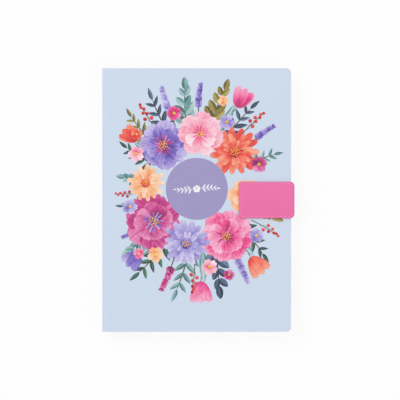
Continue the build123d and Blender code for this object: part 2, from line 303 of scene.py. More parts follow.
def twisted_thread(name, dark, light, twist_pitch, direction):
    """Thread whose plies wind round it, along x or z, with painted shade in the grooves between them."""
    look = Look(name, Sheen_Weight=0.15, Specular_IOR_Level=0.25)
    x, y, z = look.axes()
    run = {"x": x, "z": z}[direction] + y * 0.7
    plies = (run * (2 * pi / twist_pitch)).waves() * 0.5 + 0.5
    fuzz = look.noise(4000, 3)
    # painted shade: one-colour threads darker in the ply grooves, lighter on the crowns; the band's thread
    # takes its two colours in turn
    colour = look.mix(plies * 0.7 + fuzz * 0.3, dark, light)
    return look.shade(colour, 0.6 + (fuzz - 0.5) * 0.3, plies, 0.4, 0.06)


def greyboard():
    """Grey pulp board with dark flecks."""
    look = Look("greyboard", Specular_IOR_Level=0.1)
    pulp = look.noise(700, 5)
    fleck = look.noise(2400, 2)
    grey = look.mix(pulp, "#8C867C", "#B3ADA2")
    flecked = look.mix(fleck.between(0.66, 0.74) * 0.6, grey, "#5B554C")
    return look.shade(flecked, 0.9 - fleck * 0.1, pulp, 0.4, 0.05)


def open_weave():
    """Starched open cloth glued to the spine of the block."""
    yarn_pitch = 0.9 * MM
    look = Look("mull", Specular_IOR_Level=0.1)
    _, y, z = look.axes()
    along_spine = abs(y.repeat(yarn_pitch) / yarn_pitch - 0.5)
    across_spine = abs(z.repeat(yarn_pitch) / yarn_pitch - 0.5)
    yarn = along_spine.larger(across_spine).between(0.2, 0.4)
    fuzz = look.noise(1800, 3)
    colour = look.mix(yarn * (0.6 + fuzz * 0.5), "#8F8468", "#E6DEC8")
    return look.shade(colour, 0.85 + fuzz * 0.1, yarn, 0.5, 0.08)


def plated_metal(name, dark, light, rough):
    """Plated disc with fine turning marks round its middle."""
    look = Look(name, Metallic=1.0)
    x, y, _ = look.axes()
    low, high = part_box("keeper_plate")
    from_middle = ((x - (low.x + high.x) / 2) ** 2 + y * y) ** 0.5
    rings = look.noise(9000, 2, (from_middle, 0.0, 0.0))
    stain = look.noise(300, 4)
    colour = look.mix(stain * 0.6 + rings * 0.4, dark, light)
    return look.shade(colour, rough + (rings - 0.5) * 0.25, rings, 0.15, 0.01)


def grained_print(look, colour, whiteness):
    """Finish a wash with the grain of the paper, which shows white in it."""
    grain = look.noise(2600, 3)
    grained = look.mix((grain - 0.45) * whiteness, colour, "#FFFFFF")
    return look.shade(grained, 0.48 + (grain - 0.5) * 0.15, grain, 0.12, 0.02)


def petal_wash(name, deep, middle, pale):
    """Watercolour that runs from deep at a shape's base to pale at its tip, darker where it pooled."""
    look = Look(name, Specular_IOR_Level=0.3)
    across, up = look.flat_axes()
    tone = look.tone()
    pools = look.noise(190, 4)
    streaks = look.noise(1.0, 3, (across * 9, up * 1.4, tone * 37))
    run = up * 0.85 + (pools - 0.5) * 0.75 + (streaks - 0.5) * 0.85 + (tone - 0.5) * 0.5
    colour = look.ramp(run, (0.02, deep), (0.42, middle), (0.98, pale))
    rim = abs(across * 2 - 1).larger(up * 2 - 1).between(0.72, 1.0)
    rimmed = look.mix(rim * pools.between(0.35, 0.6) * 0.55, colour, middle)
    return grained_print(look, rimmed, 0.35)


def leaf_wash(name, deep, middle, pale):
    """Watercolour leaf: one half darker, a pale midrib and slanting veins."""
    look = Look(name, Specular_IOR_Level=0.3)
    across, up = look.flat_axes()
    pools = look.noise(210, 4)
    half = across.between(0.44, 0.56)
    run = half * 0.42 + up * 0.25 + (pools - 0.5) * 0.9 + (look.tone() - 0.5) * 0.55
    colour = look.ramp(run, (0.0, deep), (0.45, middle), (1.0, pale))
    from_rib = abs(across - 0.5)
    rib = 1 - from_rib.between(0.03, 0.07)
    vein = ((up * 9 - from_rib * 7) * pi * 2).waves().between(0.75, 1.0)
    lines = (rib * 0.6).larger(vein * 0.28) * (1 - up.between(0.86, 1.0))
    return grained_print(look, look.mix(lines, colour, pale), 0.3)


def roundel_ink():
    """Even lilac with the faint mottle of a large printed area."""
    look = Look("roundel_ink", Specular_IOR_Level=0.3)
    cloud = look.noise(70, 4)
    grain = look.noise(2200, 3)
    colour = look.mix(cloud * 0.6 + grain * 0.4, "#9890BF", "#A69EC8")
    return look.shade(colour, 0.46 + (grain - 0.5) * 0.16, grain, 0.12, 0.02)


def floor_white():
    """Matt white that the camera sees brighter, with the book's shadow kept on it."""
    material = bpy.data.materials.new("floor_white")
    shading = Shading(material)
    shading.tree.nodes.clear()
    matt = shading.node("BsdfDiffuse", {}, {"Color": (0.94, 0.94, 0.94, 1)})
    glow = shading.node("Emission", {}, {})
    surface = shading.node("MixShader", {}, {0: shading.seen() * 0.88, 1: matt, 2: glow})
    shading.node("OutputMaterial", {}, {"Surface": surface})
    return material


papers = {
    "cover": cover_paper(),
    "endpaper": uncoated_paper("endpaper", "#C9BFE0", "#D9D1EA", "#F1EDF7"),
    "leaf": leaf_paper(),
    "letter_ink": uncoated_paper("letter_ink", "#4F4386", "#6A5DA3", "#8F84C2"),
    "board": greyboard(),
    "liner": uncoated_paper("kraft_liner", "#A98A62", "#C4A67C", "#DCC6A4"),
}
cloths = {
    "mull": open_weave(),
    # first colour: painted shade in the grain's valleys; second colour: its lit crests
    "skin": grained_skin("clasp_skin", "#E3629B", "#F37AB2", 1500, 0.05),
    "lining": grained_skin("clasp_lining", "#D9629A", "#E97BAE", 2600, 0.03),
}
threads = {
    # sewing and clasp threads: dark colour is painted shade in the ply grooves; the band's pink and white
    # are its two threads
    "sewing": twisted_thread("linen_thread", "#D8CFB8", "#F3EEE0", 0.5 * MM, "z"),
    "band": twisted_thread("band_silk", "#D85C97", "#F4EEF2", 1.03 * MM, "z"),
    "clasp": twisted_thread("clasp_thread", "#EE7DB2", "#FFA6CF", 0.5 * MM, "x"),
}
metals = {
    "keeper": plated_metal("keeper_steel", "#8E9094", "#C9CBCE", 0.35),
    "magnet": plated_metal("magnet_nickel", "#A09C94", "#D6D2CA", 0.25),
}
petal_colours = {
    "hot_pink": ("#A80F55", "#EE4790", "#FBC4DC"),
    "magenta": ("#6B0E4C", "#C42C80", "#F09CC8"),
    "coral": ("#BE1A2C", "#EE5142", "#F9AE8E"),
    "blush": ("#EC4F7C", "#F8AFC6", "#FDE8EC"),
    "peach": ("#EE6A34", "#F8B583", "#FDE3CB"),
    "violet": ("#3D2A84", "#7C66C2", "#CABFE9"),
    "lilac": ("#6652AC", "#A195D6", "#DED7F3"),
    "red": ("#8E101F", "#D3242F", "#EF7560"),
    "gold": ("#C46B14", "#F4B726", "#FBE388"),
    "white": ("#D9D2EC", "#F4F1FA", "#FFFFFF"),
    "stem": ("#2E2B1E", "#4E4B2E", "#7C7347"),
}
leaf_colours = {
    "leaf_navy": ("#142138", "#324467", "#7A8FAD"),
    "leaf_teal": ("#2C6265", "#6CA0A1", "#B6D2CE"),
    "leaf_green": ("#0E2826", "#235048", "#67967F"),
    "leaf_olive": ("#564714", "#87782B", "#BDB26A"),
}
inks = {name: petal_wash(name, *colours) for name, colours in petal_colours.items()}
inks |= {name: leaf_wash(name, *colours) for name, colours in leaf_colours.items()}


# Modelling

def add(primitive, name, **options):
    """Add a primitive as a new piece, with nothing else selected."""
    bpy.ops.object.select_all(action="DESELECT")
    primitive(**options)
    piece = bpy.context.active_object
    piece.name = name
    piece.data.name = name
    return piece


def only(*pieces):
    """Select just these pieces, the first one active."""
    bpy.ops.object.select_all(action="DESELECT")
    for piece in pieces:
        piece.select_set(True)
    bpy.context.view_layer.objects.active = pieces[0]


@contextmanager
def editing(piece):
    """Edit mode on one piece, with the whole of it selected to start with."""
    only(piece)
    bpy.ops.object.mode_set(mode="EDIT")
    pick_all()
    yield
    bpy.ops.object.mode_set(mode="OBJECT")


def pick(piece, kind, test):
    """Select the points, edges or faces of the piece in edit mode whose every point passes a test."""
    bpy.ops.mesh.select_mode(type=kind)
    bpy.ops.mesh.select_all(action="DESELECT")
    mesh = bmesh.from_edit_mesh(piece.data)
    for part in {"VERT": mesh.verts, "EDGE": mesh.edges, "FACE": mesh.faces}[kind]:
        points = [part] if kind == "VERT" else part.verts
        part.select_set(all(test(point.co) for point in points))
    mesh.select_flush_mode()
    bmesh.update_edit_mesh(piece.data)


def pick_all():
    """Select the whole of the piece in edit mode."""
    bpy.ops.mesh.select_all(action="SELECT")


def reshape(piece, move):
    """Pass each point of the piece in edit mode to a function that moves it."""
    for point in bmesh.from_edit_mesh(piece.data).verts:
        move(point)
    bmesh.update_edit_mesh(piece.data)


def extrude(step):
    """Draw out what is selected by a step."""
    bpy.ops.mesh.extrude_region_move(TRANSFORM_OT_translate={"value": step})


def round_corners(radius, segments):
    """Round the outline at the points that are selected."""
    bpy.ops.mesh.bevel(offset=radius, segments=segments, affect="VERTICES")


def cut_through(place, normal):
    """Cut the whole piece in edit mode along a plane."""
    pick_all()
    bpy.ops.mesh.bisect(plane_co=place, plane_no=normal)


def merge_doubles(reach=TOUCH):
    """Make one point of those that share a place."""
    pick_all()
    bpy.ops.mesh.remove_doubles(threshold=reach)


def face_outwards():
    """Turn the faces of the closed piece in edit mode outwards."""
    pick_all()
    bpy.ops.mesh.normals_make_consistent(inside=False)


def settle(piece):
    """Put a piece's place, turn and size into its mesh."""
    only(piece)
    bpy.ops.object.transform_apply(location=True, rotation=True, scale=True)


def thicken(piece, thickness, offset):
    """Give a sheet its thickness, half on each side for an offset of 0, or below it for -1."""
    only(piece)
    modifier = piece.modifiers.new("thickness", "SOLIDIFY")
    modifier.thickness = thickness
    modifier.offset = offset
    bpy.ops.object.modifier_apply(modifier=modifier.name)


def plate(name, middle, size, turn=0.0):
    """A rectangle round a middle, turned about Y and then stretched to its size."""
    piece = add(bpy.ops.mesh.primitive_plane_add, name, size=1, location=middle, rotation=(0, turn, 0))
    settle(piece)
    with editing(piece):
        bpy.ops.transform.resize(value=size)
    return piece


def disc(name, sides, radius, middle):
    """A round plate."""
    circle = bpy.ops.mesh.primitive_circle_add
    piece = add(circle, name, vertices=sides, radius=radius, fill_type="NGON", location=middle)
    settle(piece)
    return piece


def joined(name, pieces):
    """Join pieces into the first one."""
    only(*pieces)
    if len(pieces) > 1:
        bpy.ops.object.join()
    pieces[0].name = name
    pieces[0].data.name = name
    return pieces[0]


def smooth(piece, degrees=40):
    only(piece)
    bpy.ops.object.shade_smooth_by_angle(angle=radians(degrees))


def copy_of(piece, name):
    """A copy of a piece with its own mesh."""
    copy = bpy.data.objects.new(name, piece.data.copy())
    objects.link(copy)
    return copy


def dress(piece, material):
    """Give a piece one material."""
    piece.data.materials.clear()
    piece.data.materials.append(material)
    return piece


def give_tone(piece, tone):
    """Give a piece one shade of its finish, from 0 to 1."""
    attribute = piece.data.attributes.new("tone", "FLOAT", "POINT")
    attribute.data.foreach_set("value", [tone] * len(piece.data.vertices))


def wobble(amount):
    return chance.uniform(-amount, amount)


# Flat shapes of the cover print, each modelled once at unit length along +Y

def flat_shape(name, columns, rows, width, base, tip, bend=0.0, lobes=0, lobe_depth=0.0):
    """A petal or leaf made of a grid, whose rows widen by the power base and narrow by the power tip."""
    lobed_tip = 0.5  # share of its width that a lobed petal keeps at its end
    narrowest = 1e-4
    shape = add(bpy.ops.mesh.primitive_grid_add, name, x_subdivisions=columns, y_subdivisions=rows, size=1)
    widest = base / (base + tip)
    with editing(shape):
        bpy.ops.mesh.select_mode(type="VERT")
        for row in range(rows + 1):
            start = row / rows
            up = (1 - cos(pi * start)) / 2
            spread = width * (up / widest) ** base * ((1 - up) / (1 - widest)) ** tip
            if lobes and row == rows:
                spread = width * lobed_tip
            pick_row(shape, row, columns)
            bpy.ops.transform.resize(value=(max(spread, narrowest), 1, 1))
            bpy.ops.transform.translate(value=(bend * up**2, up - start + 0.5, 0))
        if lobes:
            reshape(shape, lambda point: lobe_tip(point, width, lobes, lobe_depth))
        merge_doubles(2 * narrowest)
    return shape


def pick_row(shape, row, columns):
    """Select one row of a grid's points."""
    bpy.ops.mesh.select_all(action="DESELECT")
    mesh = bmesh.from_edit_mesh(shape.data)
    mesh.verts.ensure_lookup_table()
    for place in range(columns + 1):
        mesh.verts[row * (columns + 1) + place].select_set(True)
    bmesh.update_edit_mesh(shape.data)


def lobe_tip(point, width, lobes, lobe_depth):
    """Stretch a petal unequally across its width, so that its tip ends in rounded lobes."""
    shoulder_drop = 0.12
    across = point.co.x / width
    waves = abs(sin(lobes * pi * (across + 0.5)))
    rise = lobe_depth * (waves - 0.6) - shoulder_drop * (2 * across) ** 2
    point.co.y += rise * max(point.co.y, 0) ** 4


stem_bend = 0.12
flat_shapes = (
    flat_shape("broad", 12, 10, 0.80, 0.9, 0.30, lobes=3, lobe_depth=0.07),
    flat_shape("strap", 4, 8, 0.27, 0.55, 0.34),
    flat_shape("heart", 8, 8, 0.92, 0.75, 0.34, lobes=2, lobe_depth=0.12),
    flat_shape("cup", 6, 10, 0.50, 0.50, 0.62),
    flat_shape("cup_left", 6, 10, 0.46, 0.50, 0.70, bend=-0.20),
    flat_shape("cup_right", 6, 10, 0.46, 0.50, 0.70, bend=0.20),
    flat_shape("lance", 6, 10, 0.32, 0.75, 1.05, bend=0.10),
    flat_shape("oval", 6, 8, 0.56, 0.60, 0.72, bend=-0.06),
    flat_shape("blade", 4, 12, 0.15, 0.45, 1.10, bend=0.28),
    flat_shape("round", 4, 12, 1.0, 0.5, 0.5),
    flat_shape("stem", 2, 10, 0.034, 0.05, 0.22, bend=stem_bend),
)
shapes = {shape.name: shape for shape in flat_shapes}
laid = {}  # shapes laid on the front cover, by the ink that they are printed in


def along(place, heading, distance):
    """Place at a distance from another along a heading in degrees."""
    angle = radians(heading)
    return place[0] + distance * cos(angle), place[1] + distance * sin(angle)


def on_stem(place, heading, length, share):
    """Place on a laid stem, which curves to one side."""
    return along(along(place, heading, length * share), heading - 90, length * stem_bend * share**2)


def print_spot(place, level):
    """Spot on the cover in metres. Shapes that overlap lie on different levels."""
    level_height = 0.0015 * MM
    lowest_level = 2
    return place[0] * MM, place[1] * MM, cover_top + (level + lowest_level) * level_height


def lay(shape, ink, place, heading, length, level, width=1.0):
    """Lay a shape, its base at a place in millimetres and its tip along a heading in degrees."""
    copy = copy_of(shapes[shape], shape)
    turn = Matrix.Rotation(radians(heading - 90), 4, "Z")
    size = Matrix.Diagonal((length * width * MM, length * MM, 1, 1))
    copy.data.transform(Matrix.Translation(print_spot(place, level)) @ turn @ size)
    give_tone(copy, chance.random())
    laid.setdefault(ink, []).append(copy)


def lay_dot(ink, place, size, level):
    """Lay a round dot with its middle at a place."""
    lay("round", ink, along(place, 270, size / 2), 90, size, level)


def print_on_cover(piece, material):
    """Close flat shapes with sides that go down to the front cover, and one face under each."""
    with editing(piece):
        extrude((0, 0, 0))
        bpy.ops.transform.resize(value=(1, 1, 0), center_override=(0, 0, cover_top))
        bpy.ops.mesh.dissolve_faces()
        face_outwards()
    dress(piece, material)
    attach(piece, "front_cover")


# Flowers and sprays, each on as many levels as its description says

def stamens(place, reach, count, level):
    """Dots in a sunflower spiral over the heart of a flower, on 6 levels."""
    golden_angle = 137.5
    for number in range(count):
        share = sqrt((number + 0.5) / count)
        dot = along(place, number * golden_angle, reach * share)
        lay_dot("gold", dot, reach * (0.42 - 0.18 * share), level + number % 6)


def open_flower(place, heading, reach, level, ink, heart_ink, petals):
    """Broad lobed petals in two rings round a dotted heart, on 28 levels."""
    for ring, share in enumerate((1.0, 0.72)):
        for number in range(petals):
            turn = heading + (number + ring * 0.5) * 360 / petals + wobble(5)
            length = reach * share * (1 + wobble(0.07))
            lay("broad", ink, place, turn, length, level + 8 * ring + number, 1.0 + wobble(0.12))
    for number in range(12):
        turn = heading + number * 30 + wobble(8)
        length = reach * (0.40 + wobble(0.06))
        lay("strap", heart_ink, place, turn, length, level + 16 + number % 6, 0.6)
    stamens(place, reach * 0.2, 16, level + 22)


def rayed_flower(place, heading, reach, level, ink, heart_ink, rays):
    """Three whorls of narrow rays round a dark disc, on 28 levels."""
    for ring, share in enumerate((1.0, 0.76, 0.52)):
        for number in range(rays):
            turn = heading + (number + ring * 0.5) * 360 / rays + wobble(4)
            length = reach * share * (1 + wobble(0.08))
            lay("strap", ink, place, turn, length, level + 7 * ring + number % 7, 1.05)
    lay_dot(heart_ink, place, reach * 0.5, level + 21)
    stamens(place, reach * 0.2, 14, level + 22)


def small_blossom(place, heading, reach, level, ink):
    """Five heart-shaped petals and a yellow eye, on 6 levels."""
    for number in range(5):
        lay("heart", ink, place, heading + number * 72 + wobble(5), reach, level + number)
    lay_dot("gold", place, reach * 0.42, level + 5)


def tulip(place, heading, length, level, ink):
    """A cup of five petals on a curved stem with two long blades, on 8 levels."""
    stem = length * 0.85
    lay("stem", "stem", place, heading, stem, level)
    for number, side in enumerate((-1, 1)):
        lay("blade", "leaf_teal", place, heading + side * 16, stem, level + 1 + number, side)
    cup = on_stem(place, heading, stem, 0.97)
    petals = (("cup_left", 16), ("cup_right", -16), ("cup_left", 9), ("cup_right", -9), ("cup", 0))
    for number, (shape, offset) in enumerate(petals):
        lay(shape, ink, cup, heading + offset, length * 0.62, level + 3 + number, 1.05)


def leaf_spray(place, heading, length, level, ink, shape="lance", leaf_share=0.42, stem_ink="stem"):
    """Pairs of leaves along a stem, smaller towards its tip, with one at the end, on 10 levels."""
    pairs = 4
    lay("stem", stem_ink, place, heading, length, level)
    for pair in range(pairs):
        share = (pair + 0.6) / (pairs + 0.3)
        node = on_stem(place, heading, length, share)
        leaf = length * leaf_share * (1 - 0.45 * share)
        for number, side in enumerate((-1, 1)):
            out = heading + side * (48 - 14 * share) + wobble(6)
            lay(shape, ink, node, out, leaf * (1 + wobble(0.1)), level + 1 + 2 * pair + number, -side)
    end = on_stem(place, heading, length, 1.0)
    lay(shape, ink, end, heading - 10, length * leaf_share * 0.75, level + 9)


def berry_spray(place, heading, length, level):
    """Round berries on fine stalks that leave one stem to either side, on 8 levels."""
    berries = 7
    lay("stem", "stem", place, heading, length, level, 0.8)
    for number in range(berries):
        share = 0.35 + 0.65 * number / (berries - 1)
        node = on_stem(place, heading, length, share)
        out = heading + (38 if number % 2 else -38) * (1.1 - share) + wobble(8)
        stalk = length * 0.22 * (1.15 - 0.6 * share)
        lay("stem", "stem", node, out, stalk, level + 1 + number % 3, 1.2)
        size = length * 0.13 * (1.1 - 0.3 * share)
        lay_dot("red", along(node, out, stalk * 0.9 + size / 2), size, level + 4 + number % 4)


def flower_spike(place, heading, length, level, ink):
    """A slim spike of small florets, on 10 levels."""
    whorls = 8
    lay("stem", "stem", place, heading, length, level, 0.8)
    for whorl in range(whorls):
        share = 0.42 + 0.58 * whorl / (whorls - 1)
        node = on_stem(place, heading, length, share)
        floret = length * 0.16 * (1.15 - 0.5 * share)
        for number, side in enumerate((-40, 0, 40)):
            turn = heading + side + wobble(8)
            lay("oval", ink, node, turn, floret, level + 1 + 3 * (whorl % 3) + number, 1.1)


# Wreath round the roundel: angle, reach from its middle, size, storey among its kind, inks and shapes
roundel_place = (-1.3, 9.1)
roundel_radius = 25.2
roundel_level = 148
sprig_level = 149
wreath_height = 1.08  # the wreath is a little taller than it is wide
leaf_sprays = (
    (58, 44, 32, 0, "leaf_navy", "lance"), (100, 46, 32, 1, "leaf_teal", "oval"),
    (118, 44, 34, 2, "leaf_navy", "lance"), (152, 38, 27, 3, "leaf_green", "lance"),
    (172, 36, 23, 0, "leaf_teal", "oval"), (196, 38, 23, 1, "leaf_navy", "lance"),
    (238, 46, 34, 2, "leaf_green", "lance"), (262, 44, 36, 3, "leaf_teal", "lance"),
    (288, 44, 34, 0, "leaf_navy", "oval"), (322, 42, 32, 1, "leaf_green", "lance"),
    (342, 46, 22, 2, "leaf_olive", "oval"), (24, 42, 26, 3, "leaf_teal", "lance"),
    (76, 50, 30, 0, "leaf_olive", "oval"), (136, 50, 27, 1, "leaf_olive", "lance"),
    (222, 48, 25, 2, "leaf_teal", "oval"),
)
flower_spikes = (
    (88, 50, 30, 0, "violet"), (110, 50, 32, 1, "lilac"), (212, 46, 24, 0, "violet"),
    (250, 50, 32, 1, "magenta"), (300, 50, 32, 0, "lilac"), (38, 50, 28, 1, "violet"),
)
tulips = (
    (66, 48, 28, 0, "hot_pink"), (146, 42, 24, 1, "coral"), (230, 46, 26, 0, "violet"),
    (276, 48, 29, 1, "hot_pink"), (313, 46, 28, 0, "coral"),
)
berry_sprays = ((126, 52, 24, 0), (184, 44, 19, 0), (268, 52, 24, 0), (332, 50, 22, 0), (48, 52, 24, 0))
rayed_flowers = (
    (42, 42, 20, 0, "coral", "red", 15), (174, 42, 15, 1, "peach", "coral", 13),
    (258, 42, 18.5, 1, "lilac", "violet", 15),
)
open_flowers = (
    (86, 42, 18.5, 1, "blush", "hot_pink", 7), (130, 43, 20, 0, "violet", "magenta", 7),
    (215, 43, 22.5, 0, "magenta", "violet", 8), (304, 43, 20.5, 0, "hot_pink", "magenta", 8),
    (352, 39, 14, 1, "peach", "coral", 6),
)
small_blossoms = (
    (64, 56, 6.5, 0, "lilac"), (108, 60, 6, 0, "hot_pink"), (152, 56, 6.5, 0, "blush"),
    (194, 56, 6, 0, "lilac"), (236, 60, 6.5, 0, "peach"), (280, 60, 6.5, 0, "blush"),
    (324, 60, 6, 0, "lilac"), (20, 54, 6.5, 0, "magenta"), (140, 64, 4.5, 0, "coral"),
    (226, 68, 4.5, 0, "hot_pink"), (72, 70, 4.5, 0, "peach"), (292, 70, 4.5, 0, "magenta"),
)
wreath = (  # what is laid, its rows, its lowest level, the levels in a storey, and its heading
    (leaf_spray, leaf_sprays, 0, 10, lambda angle: angle + wobble(6)),
    (flower_spike, flower_spikes, 40, 10, lambda angle: angle + 6),
    (tulip, tulips, 60, 8, lambda angle: angle - 4),
    (berry_spray, berry_sprays, 76, 8, lambda angle: angle + 4),
    (rayed_flower, rayed_flowers, 84, 28, lambda angle: 0),
    (open_flower, open_flowers, 84, 28, lambda angle: angle),
    (small_blossom, small_blossoms, 140, 6, lambda angle: chance.uniform(0, 72)),
)


def garden_wreath():
    """A ring of garden flowers, sprays and berries round the roundel, and a sprig on it."""
    for plant, rows, lowest, levels, heading in wreath:
        for angle, reach, size, storey, *looks in rows:
            x, y = along((0, 0), angle, reach)
            place = (roundel_place[0] + x, roundel_place[1] + wreath_height * y)
            plant(place, heading(angle), size, lowest + levels * storey, *looks)
    roundel_sprig()
    for ink, copies in laid.items():
        print_on_cover(joined("print_" + ink, copies), inks[ink])
    for shape in flat_shapes:
        bpy.data.objects.remove(shape)


def roundel_sprig():
    """A white blossom between two slim sprays, on the roundel."""
    blossom_reach = 3.0
    spray_length = 13
    for number, heading in enumerate((8, 188)):
        base = along(roundel_place, heading, blossom_reach)
        level = sprig_level + 10 * number
        leaf_spray(base, heading, spray_length, level, "white", leaf_share=0.36, stem_ink="white")
    small_blossom(roundel_place, 18, blossom_reach, sprig_level + 20, "white")


def roundel():
    """The round label under the sprig."""
    border = 0.25 * MM
    label = disc("roundel", 96, roundel_radius * MM, print_spot(roundel_place, roundel_level))
    with editing(label):
        bpy.ops.mesh.inset(thickness=border)
    print_on_cover(label, roundel_ink())


# Clasp

edge_round = 0.55 * MM
turned_edge = 2.4 * MM  # skin folded in over itself, which the linings leave showing
fold_tail = 1.5 * MM  # straight strap at both ends of a fold's piece
fold_centre = Vector((fold_low.x, 0, fold_low.z))
tab_seam = fold_low.x - fold_tail
neck_top_seam = neck_high.z - fold_tail
neck_foot_seam = neck_low.z + fold_tail
neck_middle = (neck_inside + neck_high.x) / 2
tab_half = tab_high.y
neck_half = neck_high.y
fold_corner = tab_half - neck_half
strap_thickness = tab_high.z - tab_under
anchor_thickness = anchor_high.z - anchor_low.z
neck_section = (strap_thickness, 2 * neck_half, 1)


def clasp_tab():
    """Tab with soft turned edges and a sunk line for its stitches."""
    spare = 12 * MM  # cut off again at the seam
    free_corner = 2.2 * MM
    end_shift = 0.8 * MM  # the row of stitches keeps further from the free end than from the sides
    end_reach = free_corner + 0.1 * MM
    sunk_line = ((1.30, 0.0), (0.20, -0.08), (0.25, 0.0), (0.20, 0.08))  # insets and lifts in millimetres
    length = tab_seam + spare - tab_low.x
    middle = (tab_low.x + length / 2, 0, tab_under)

    def on_outline(at):
        """Whether a point is on the tab's outline, at its free end or along its two sides."""
        in_x = max(tab_low.x + free_corner - at.x, 0)
        in_y = max(abs(at.y) - (tab_half - free_corner), 0)
        return abs(hypot(in_x, in_y) - free_corner) < 10 * TOUCH

    tab = plate("clasp_tab_skin", middle, (length, 2 * tab_half, 1))
    with editing(tab):
        pick(tab, "VERT", lambda at: at.x < tab_low.x + TOUCH)
        round_corners(free_corner, 8)
        pick_all()
        extrude((0, 0, strap_thickness))
        face_outwards()
        pick(tab, "FACE", lambda at: at.z > tab_high.z - TOUCH)
        for inset, lift in sunk_line:
            bpy.ops.mesh.inset(thickness=inset * MM)
            bpy.ops.transform.translate(value=(0, 0, lift * MM))
        pick(tab, "VERT", lambda at: at.x < tab_low.x + end_reach and not on_outline(at))
        bpy.ops.transform.translate(value=(end_shift, 0, 0))
        for height in (tab_under, tab_high.z):
            pick(tab, "EDGE", lambda at: abs(at.z - height) < TOUCH and on_outline(at))
            bpy.ops.mesh.bevel(offset=edge_round, segments=4, affect="EDGES")
        pick_all()
        bpy.ops.mesh.bisect(plane_co=(tab_seam, 0, 0), plane_no=(1, 0, 0), clear_outer=True, use_fill=True)
    smooth(tab)
    dress(tab, cloths["skin"])
    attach(tab, "clasp_tab")
    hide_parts("clasp_tab_outer")


def lining_sheet(name, node, body, middle, size, turn=0.0):
    """Thin lining glued over the turned edges on the strap's inner face."""
    corner = 1.2 * MM
    thickness = 0.04 * MM
    sheet = plate(name, middle, size, turn)
    with editing(sheet):
        round_corners(corner, 5)
    thicken(sheet, thickness, 0)
    dress(sheet, cloths["lining"])
    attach(sheet, body)
    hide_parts(node)


def tab_lining():
    length = tab_seam - tab_low.x - turned_edge
    middle = (tab_seam - length / 2, 0, tab_under)
    size = (length, 2 * (tab_half - turned_edge), 1)
    lining_sheet("tab_lining_sheet", "clasp_tab_lining", "clasp_tab", middle, size)


def neck_lining():
    middle = (neck_inside, 0, (neck_top_seam + neck_foot_seam) / 2)
    size = (1, 2 * (neck_half - turned_edge), neck_top_seam - neck_foot_seam)
    lining_sheet("neck_lining_sheet", "clasp_neck_lining", "clasp_neck", middle, size, pi / 2)


def stitches():
    """Short threads in a row round the tab's three free sides."""
    end_line = tab_low.x + 2.4 * MM
    side_line = tab_half - 1.6 * MM
    height = tab_high.z - 0.02 * MM
    pitch = 3.2 * MM
    stitch_size = Vector((2.2, 0.62, 0.34)) * MM
    end_length = 0.4 * MM  # of each end, which goes down into the skin
    end_drop = 0.07 * MM
    thread = add(bpy.ops.mesh.primitive_uv_sphere_add, "stitch", segments=10, ring_count=8, radius=0.5)
    with editing(thread):
        bpy.ops.transform.resize(value=stitch_size)
        pick(thread, "VERT", lambda at: abs(at.x) > stitch_size.x / 2 - end_length)
        bpy.ops.transform.translate(value=(0, 0, -end_drop))
    run = tab_seam - end_line
    side_count = int(run / pitch)
    end_count = int((2 * side_line - pitch) / pitch)
    spots = []
    for number in range(side_count):
        x = end_line + run * (number + 0.6) / side_count
        spots += [(x, side_line, 0.0), (x, -side_line, 0.0)]
    for number in range(end_count):
        spots.append((end_line, (number - (end_count - 1) / 2) * pitch, pi / 2))
    copies = []
    for x, y, turn in spots:
        copy = copy_of(thread, "stitch_copy")
        tilt = Matrix.Rotation(turn + radians(wobble(4)), 4, "Z")
        copy.data.transform(Matrix.Translation((x, y, height)) @ tilt)
        copies.append(copy)
    bpy.data.objects.remove(thread)
    row = joined("clasp_stitches", copies)
    smooth(row, 80)
    dress(row, threads["clasp"])
    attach(row, "clasp_tab")
    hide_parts("clasp_stitching")


@contextmanager
def strap_skin(name, middle, size, turn=0.0):
    """A length of the strap, to be drawn out from its rounded end face, which is selected."""
    piece = plate(name, middle, size, turn)
    with editing(piece):
        round_corners(edge_round, 4)
        pick_all()
        yield piece
        face_outwards()
    smooth(piece)
    dress(piece, cloths["skin"])


def draw_out(distance, direction, steps):
    """Extrude the selected end face in equal steps."""
    for _ in range(steps):
        extrude(Vector(direction) * (distance / steps))


def quarter_turn(centre):
    """Draw the selected end face round a quarter circle."""
    bpy.ops.mesh.spin(steps=10, angle=pi / 2, center=centre, axis=(0, -1, 0))


def upper_fold():
    """The strap's turn from the tab down the fore edge, narrowing to the neck."""
    middle = (tab_seam, 0, (tab_under + tab_high.z) / 2)
    with strap_skin("clasp_fold_skin", middle, (1, 2 * tab_half, strap_thickness), pi / 2) as fold:
        draw_out(fold_tail, (1, 0, 0), 6)
        quarter_turn(fold_centre)
        draw_out(fold_tail, (0, 0, -1), 4)
        reshape(fold, narrow_to_outline)
    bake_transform(fold)
    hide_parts("clasp_upper_fold")


def narrow_to_outline(point):
    """Move a point of the upper fold in, so that its row follows the rounded corners seen from above."""
    arm = point.co - fold_centre
    if arm.z < TOUCH:
        outer_x = fold_high.x
    elif arm.x < TOUCH:
        outer_x = point.co.x
    else:
        outer_x = fold_centre.x + (tab_high.z - fold_centre.z) * arm.x / hypot(arm.x, arm.z)
    past_corner = max(outer_x - (fold_high.x - fold_corner), 0)
    inward = fold_corner - sqrt(max(fold_corner**2 - past_corner**2, 0))
    point.co.y -= copysign(inward, point.co.y)


def neck():
    """Strap beside the fore edge."""
    with strap_skin("clasp_neck_skin", (neck_middle, 0, neck_top_seam), neck_section) as piece:
        draw_out(neck_top_seam - neck_foot_seam, (0, 0, -1), 6)
    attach(piece, "clasp_neck")
    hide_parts("clasp_neck_outer")


